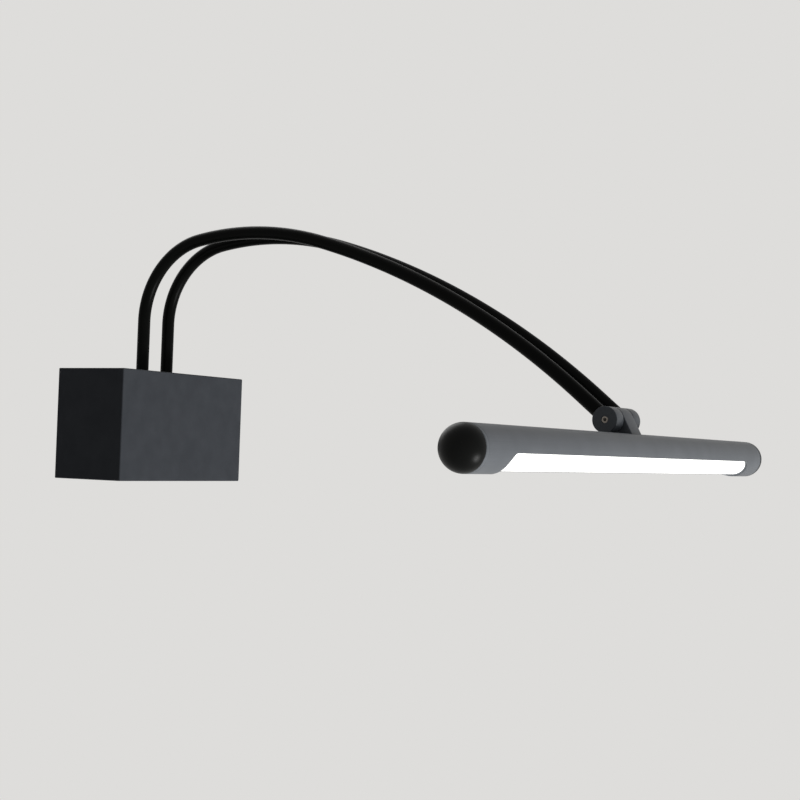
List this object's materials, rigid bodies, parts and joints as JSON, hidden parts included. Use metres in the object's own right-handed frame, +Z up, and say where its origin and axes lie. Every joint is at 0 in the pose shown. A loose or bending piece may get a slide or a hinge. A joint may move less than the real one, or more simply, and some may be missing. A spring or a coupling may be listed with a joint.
{
  "type": "picture light",
  "caption": "Wall picture light: a rectangular driver box carries two bent parallel rods that arch out and down to a slim round tube lamp on a friction hinge.",
  "frame": {"origin": "on the wall plane, at the centre of the four fixing slots in the wall plate", "axes": "+X along the lamp tube, +Y into the wall, +Z up; the lamp head hangs out at -Y"},
  "size_m": [0.44, 0.3982, 0.1717],
  "materials": {
    "black_metal": "satin black powder coat",
    "grey_tube": "satin gun-metal anodised extrusion",
    "grey_knuckle": "darker gun-metal anodising on turned parts",
    "black_cap": "satin black moulding",
    "zinc_steel": "bright zinc plated steel",
    "pivot_steel": "stainless steel, turned",
    "rubber": "black rubber",
    "driver_case": "white moulded case",
    "terminal_plastic": "natural nylon",
    "brass_screw": "plain brass",
    "nylon_washer": "black nylon",
    "opal": "opal extruded acrylic, lit from behind",
    "board": "white solder mask",
    "chip": "phosphor coated LED package"
  },
  "bodies": {
    "wall_arm": {"wall_plate": "zinc_steel", "cable_grommet": "rubber", "driver_housing": "black_metal", "housing_screws": "zinc_steel", "arm_clamp_plate": "zinc_steel", "led_driver": "driver_case", "driver_screws": "zinc_steel", "terminal_block": "terminal_plastic", "terminal_screws": "brass_screw", "earth_screw": "brass_screw", "cord_clamp": "zinc_steel", "cord_clamp_screws": "zinc_steel", "arm_rod_left": "black_metal", "arm_rod_right": "black_metal", "arm_washers": "zinc_steel", "arm_nuts": "zinc_steel", "knuckle_left": "grey_knuckle", "knuckle_right": "grey_knuckle", "friction_washers": "nylon_washer", "pivot_screw": "pivot_steel", "pivot_nut": "pivot_steel"},
    "lamp_head": {"head_bracket": "grey_knuckle", "bracket_screws": "zinc_steel", "lamp_tube": "grey_tube", "end_cap_left": "black_cap", "end_cap_right": "black_cap", "diffuser": "opal", "led_board": "board", "led_chips": "chip"}
  },
  "joints": [
    {"name": "head_tilt", "type": "hinge", "parent": "wall_arm", "child": "lamp_head", "pos_m": [0, -0.37561, 0.01048], "axis": [1, 0, 0], "range_deg": [-60, 90]}
  ]
}
